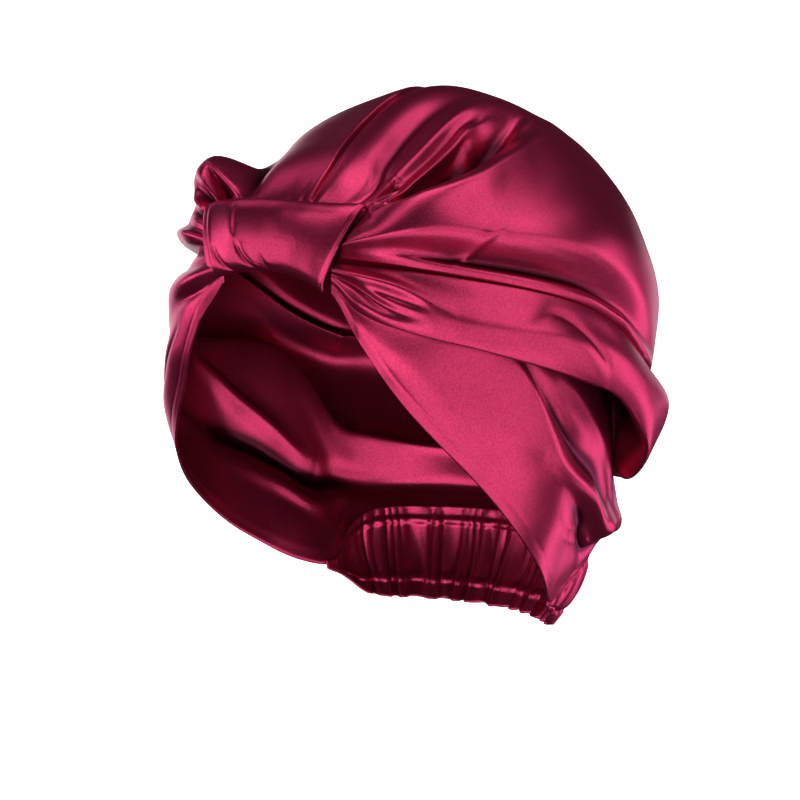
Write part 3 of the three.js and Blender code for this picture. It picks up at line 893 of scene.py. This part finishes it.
def evened(values, axis, cells):
    """Running mean over a number of cells on each side."""
    pads = [(cells + 1, cells) if k == axis else (0, 0) for k in range(values.ndim)]
    total = np.cumsum(np.pad(values, pads, mode="edge"), axis)
    size = 2 * cells + 1
    last = total.shape[axis]
    return (total.take(np.arange(size, last), axis) - total.take(np.arange(last - size), axis)) / size


def painted_shade_depth(face, normal):
    """How far the cloth lies in shade, 1 being deep, for the shade painted into its colour: its depth below
    its own level, which is its points evened out twice along each way, the greater of a narrow and a wide
    level."""
    paces = [np.linalg.norm(np.diff(face, axis=axis), axis=-1).mean() for axis in (0, 1)]
    depths = []
    for reach, deep in zip(*SHADE_LEVELS.values()):
        level = face
        for axis in (0, 1, 0, 1):
            level = evened(level, axis, max(1, round(reach / 2 / paces[axis])))
        depths.append(np.sum((level - face) * normal, -1) / deep)
    return np.maximum(*depths)


def grid_quads(rows, columns):
    """Corners of the quads of a grid, as numbers of its points row by row."""
    index = np.arange(rows * columns).reshape(rows, columns)
    return np.stack([index[:-1, :-1], index[:-1, 1:], index[1:, 1:], index[1:, :-1]], -1).reshape(-1, 4)


def add_object(name, data):
    """Puts a mesh, a light or a camera into the scene."""
    made = bpy.data.objects.new(name, data)
    bpy.context.scene.collection.objects.link(made)
    return made


def cloth(name, face, wall=WALL):
    """A closed piece of cloth: the grid of outer points, the same grid one wall in along the surface's
    normal, and a rounded rim between them. Its UV map is the cloth's own lengths in metres."""
    rows, columns = face.shape[:2]
    along_u = unit(np.gradient(face, axis=1))
    along_v = unit(np.gradient(face, axis=0))
    normal = unit(np.cross(along_u, along_v))
    inner = face - normal * wall
    count = rows * columns
    index = np.arange(count).reshape(rows, columns)
    outward = np.zeros_like(face)
    outward[0] -= along_v[0]
    outward[-1] += along_v[-1]
    outward[:, 0] -= along_u[:, 0]
    outward[:, -1] += along_u[:, -1]
    loop = np.concatenate([index[0, :-1], index[:-1, -1], index[-1, :0:-1], index[:0:-1, 0]])
    rim = ((face + inner) / 2 + unit(outward) * RIM_ROUND * wall).reshape(-1, 3)[loop]
    outer_quads = grid_quads(rows, columns)
    inner_quads = outer_quads[:, ::-1] + count
    near = np.arange(len(loop)) + 2 * count
    far = np.roll(near, -1)
    after = np.roll(loop, -1)
    rim_out = np.stack([loop, near, far, after], -1)
    rim_in = np.stack([near, loop + count, after + count, far], -1)
    quads = np.concatenate([outer_quads, inner_quads, rim_out, rim_in])
    points = np.concatenate([face.reshape(-1, 3), inner.reshape(-1, 3), rim]) * MM
    grid_uv = np.stack([run_lengths(face, 1), run_lengths(face, 0)], -1).reshape(-1, 2) * MM
    uv = np.concatenate([grid_uv, grid_uv, grid_uv[loop]])
    mesh = bpy.data.meshes.new(name)
    mesh.from_pydata(points, [], quads)
    corner_uv = uv[quads.reshape(-1)].reshape(-1).astype(np.float32)
    mesh.uv_layers.new(name="cloth").data.foreach_set("uv", corner_uv)
    # Painted shade: each point's depth in creases and hollows, kept for the material to darken the colour;
    # the inside takes it reversed
    depth = painted_shade_depth(face, normal).reshape(-1)
    depths = np.concatenate([depth, -depth, depth[loop]]).astype(np.float32)
    mesh.attributes.new("painted_shade_depth", "FLOAT", "POINT").data.foreach_set("value", depths)
    mesh.shade_smooth()
    return add_object(name, mesh)


# Materials


def linear(code):
    """Linear colour of an sRGB hex value, by that standard's straight foot and power curve."""
    s = np.array([int(code[k : k + 2], 16) for k in (1, 3, 5)]) / 255
    rgb = np.where(s <= 0.04045, s / 12.92, ((s + 0.055) / 1.055) ** 2.4)
    return (*map(float, rgb), 1.0)


def node(tree, kind, inputs=(), **settings):
    """Adds a node with its settings; an input is a socket to link or a value to set."""
    made = tree.nodes.new(kind)
    for name, value in settings.items():
        setattr(made, name, value)
    for name, value in dict(inputs).items():
        if isinstance(value, bpy.types.NodeSocket):
            tree.links.new(value, made.inputs[name])
        else:
            made.inputs[name].default_value = value
    return made


SATIN_DEEP = "#882140"
SATIN_FULL = "#a2294d"
SATIN_EDGE = "#e8b8cc"
# colour painted into creases and hollows as shade
SATIN_PAINTED_SHADE = "#26060f"
SATIN_METALLIC = 0.92
SATIN_ROUGHNESS = 0.31
GRAIN = 0.8  # mm; the weave is finer than a pixel, so its grain is drawn this coarse to show
GRAIN_DETAIL = 2.0
GRAIN_SHARE = 0.75  # of the tone, the rest being slub
GRAIN_BUMP = Sizes(strength=0.4, depth=0.12)  # depth in mm
SLUB = 14.0  # mm between the slow changes of tone along the yarns
SLUB_DETAIL = 3.0
TONE_ENDS = (0.35, 0.65)  # of the noise, between which the tone goes from deep to full
SHADE_RANGE = (0.1, 1.0)  # depths at which the shade begins and is full
SHADE_MOST = 0.95  # of the way to the shade's colour
COLOUR_MIX = Sizes(factor=0, first=6, second=7, result=2)  # sockets of a colour mix, whose names repeat


def new_material(name):
    """A material with an empty node tree."""
    made = bpy.data.materials.new(name)
    made.use_nodes = True
    made.node_tree.nodes.clear()
    return made


def polyester_satin(name):
    """Woven polyester satin: long floats of yarn give a dark ground with broad, coloured highlights; shade
    is painted into its colour where the cloth lies deep in creases and hollows.
    """
    made = new_material(name)
    tree = made.node_tree
    place = node(tree, "ShaderNodeTexCoord").outputs["Object"]
    noise = [
        node(tree, "ShaderNodeTexNoise", {"Vector": place, "Scale": 1 / (size * MM), "Detail": detail})
        for size, detail in ((SLUB, SLUB_DETAIL), (GRAIN, GRAIN_DETAIL))
    ]
    slub, grain = (each.outputs["Fac"] for each in noise)
    both = node(tree, "ShaderNodeMix", {"Factor": GRAIN_SHARE, "A": slub, "B": grain})
    tone = node(tree, "ShaderNodeValToRGB", {"Fac": both.outputs["Result"]})
    for end, position, code in zip(tone.color_ramp.elements, TONE_ENDS, (SATIN_DEEP, SATIN_FULL)):
        end.position = position
        end.color = linear(code)
    # Painted shade: the colour goes towards the shade colour where the cloth lies deep in creases and
    # hollows, as if light hardly got in
    depth = node(tree, "ShaderNodeAttribute", attribute_name="painted_shade_depth").outputs["Fac"]
    shade = node(
        tree,
        "ShaderNodeMapRange",
        {"Value": depth, "From Min": SHADE_RANGE[0], "From Max": SHADE_RANGE[1], "To Max": SHADE_MOST},
        interpolation_type="SMOOTHSTEP",
    )
    mixed = node(
        tree,
        "ShaderNodeMix",
        {
            COLOUR_MIX.factor: shade.outputs["Result"],
            COLOUR_MIX.first: tone.outputs["Color"],
            COLOUR_MIX.second: linear(SATIN_PAINTED_SHADE),
        },
        data_type="RGBA",
    )
    relief = {"Height": grain, "Strength": GRAIN_BUMP.strength, "Distance": GRAIN_BUMP.depth * MM}
    bump = node(tree, "ShaderNodeBump", relief)
    satin = node(
        tree,
        "ShaderNodeBsdfPrincipled",
        {
            "Base Color": mixed.outputs[COLOUR_MIX.result],
            "Normal": bump.outputs["Normal"],
            "Metallic": SATIN_METALLIC,
            "Roughness": SATIN_ROUGHNESS,
            "Specular Tint": linear(SATIN_EDGE),
        },
    )
    node(tree, "ShaderNodeOutputMaterial", {"Surface": satin.outputs["BSDF"]})
    return made


# Pieces

# Flat size and area of each cut in metres, and how it is held
CUTS = {
    "crown": Sizes(flat=(0.29, 0.26), area=0.06, held="gathered"),
    "band": Sizes(flat=(0.27, 0.12), area=0.025, held="gathered"),
    "tab": Sizes(flat=(0.08, 0.065), area=0.0045, held="stretched"),
    "casing": Sizes(flat=(0.21, 0.035), area=0.006, held="gathered"),
}
SATINS = {cut: polyester_satin("wine_satin_" + cut) for cut in CUTS}
MIRRORED = np.array([-1, 1, 1])


def finish(piece, cut, replaced):
    """Dresses a piece in the satin of its cut, hangs it on the root body and hides the CAD node it
    replaces.
    """
    piece.data.materials.append(SATINS[cut])
    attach(piece, "root")
    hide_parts(replaced)


finish(cloth("crown_satin", crown_face()), "crown", "crown")
finish(cloth("band_left_satin", band_face(LEFT_FOLDS)), "band", "side_band_left")
right_face = band_face(RIGHT_FOLDS, RIGHT_EASE)[:, ::-1] * MIRRORED
finish(cloth("band_right_satin", right_face), "band", "side_band_right")
finish(cloth("tab_satin", tab_face(), TAB_WALL), "tab", "front_tab")
finish(cloth("casing_satin", casing_face()), "casing", "nape_casing")


# Stage, light and camera

# Floor, radius and rim in metres; shares of the profile over which it spreads and from which it rises
STAGE = Sizes(floor=-0.42, radius=3.2, rim=1.3, spread=0.6, pace=0.8, rises=0.45, sides=128, rings=64)
PAPER = Sizes(colour="#f4f4f4", roughness=0.9, glow="#ffffff", strength=1.2)
CAP_MIDDLE = Vector((0, 0, -0.1))
LIGHT_DISTANCE = 2.0
AMBIENT = Sizes(colour="#c8c8c8", strength=0.05)


def direction_at(azimuth, elevation):
    """Direction out from the cap, by the sines and cosines of its angles in degrees: azimuth from the front
    to the left, and elevation."""
    a, e = np.radians(azimuth), np.radians(elevation)
    return Vector((np.sin(a) * np.cos(e), -np.cos(a) * np.cos(e), np.sin(e)))


def stage():
    """A pale floor that curves up all round into a low wall: a profile turned about Z."""
    turn = np.linspace(0, FULL_TURN, STAGE.sides + 1)[:, None]
    t = np.linspace(0, 1, STAGE.rings + 1)[None, :]
    radius = STAGE.radius * np.sin(np.minimum(t / STAGE.spread, 1) * np.pi / 2) ** STAGE.pace
    height = STAGE.floor + STAGE.rim * np.clip((t - STAGE.rises) / (1 - STAGE.rises), 0, 1) ** 2
    points = np.stack([radius * np.cos(turn), radius * np.sin(turn), height + 0 * turn], -1)
    mesh = bpy.data.meshes.new("stage")
    mesh.from_pydata(points.reshape(-1, 3), [], grid_quads(turn.size, t.size))
    mesh.shade_smooth()
    floor = add_object("stage", mesh)
    paper = new_material("white_studio_paper")
    tree = paper.node_tree
    matt = node(
        tree,
        "ShaderNodeBsdfPrincipled",
        {
            "Base Color": linear(PAPER.colour),
            "Roughness": PAPER.roughness,
            "Emission Color": linear(PAPER.glow),
            "Emission Strength": PAPER.strength,
        },
    )
    node(tree, "ShaderNodeOutputMaterial", {"Surface": matt.outputs["BSDF"]})
    mesh.materials.append(paper)
    floor.visible_glossy = False
    floor.visible_diffuse = False
    floor.visible_shadow = False


def softbox(name, azimuth, elevation, size, power):
    """A rectangle of soft light that faces the cap, placed by its angles about the cap's middle."""
    light = bpy.data.lights.new(name, "AREA")
    light.shape = "RECTANGLE"
    light.size, light.size_y = size
    light.energy = power
    back = direction_at(azimuth, elevation)
    turned = back.to_track_quat("Z", "Y").to_matrix().to_4x4()
    add_object(name, light).matrix_world = Matrix.Translation(CAP_MIDDLE + back * LIGHT_DISTANCE) @ turned


# Softboxes: name, azimuth from the front to the left, elevation, width and height in metres, watts
LIGHTS = (
    ("left_wall", 92, -4, (2.6, 1.9), 30),
    ("front_wall", 24, -5, (2.2, 1.6), 35),
    ("right_front", -40, 8, (1.45, 1.3), 14.5),
    ("right_wall", -76, 2, (1.0, 0.9), 11),
    ("right_back", -120, -4, (1.2, 1.1), 8),
    ("right_top", -106, 39, (0.7, 0.7), 2.2),
    ("floor_bounce", 66, -44, (2.5, 1.1), 22),
    ("left_back", 146, 0, (1.0, 0.9), 9),
    ("left_low", 160, -26, (0.9, 1.1), 10.5),
    ("top_left", 107, 44, (1.4, 1.2), 13),
    ("top_left_back", 140, 44, (0.7, 0.7), 2.2),
    ("top", 216, 88, (1.3, 1.3), 18.5),
    ("top_back", 164, 60, (0.75, 0.75), 4.6),
    ("top_front", -26, 57, (0.8, 0.7), 4.5),
    ("behind", 188, -5, (0.7, 0.45), 1.6),
)
stage()
for light in LIGHTS:
    softbox(*light)
world = bpy.data.worlds.new("studio")
world.use_nodes = True
ambient = world.node_tree.nodes["Background"].inputs
ambient["Color"].default_value = linear(AMBIENT.colour)
ambient["Strength"].default_value = AMBIENT.strength
bpy.context.scene.world = world
bpy.context.scene.view_settings.view_transform = "Standard"

CAMERA_AZIMUTH = 36
CAMERA_ELEVATION = 10
CAMERA_DISTANCE = 1.2
CAMERA_AIM = Vector((0, 0, -0.092))
AIM_PIXEL = (424, 317)  # where the aim falls in the 800 by 800 picture
PICTURE = 800
FOCAL = 2940  # in pixels
SENSOR = 36.0  # in mm

right = direction_at(CAMERA_AZIMUTH + 90, 0)
back = direction_at(CAMERA_AZIMUTH, CAMERA_ELEVATION)
up = back.cross(right)
off = [(p - PICTURE / 2) / FOCAL * CAMERA_DISTANCE for p in AIM_PIXEL]
eye = CAMERA_AIM + CAMERA_DISTANCE * back - off[0] * right + off[1] * up
lens = bpy.data.cameras.new("photo_camera")
lens.sensor_width = SENSOR
lens.lens = FOCAL / PICTURE * SENSOR
camera = add_object("photo_camera", lens)
camera.matrix_world = Matrix.Translation(eye) @ Matrix((right, up, back)).transposed().to_4x4()
bpy.context.scene.camera = camera

bpy.context.view_layer.update()
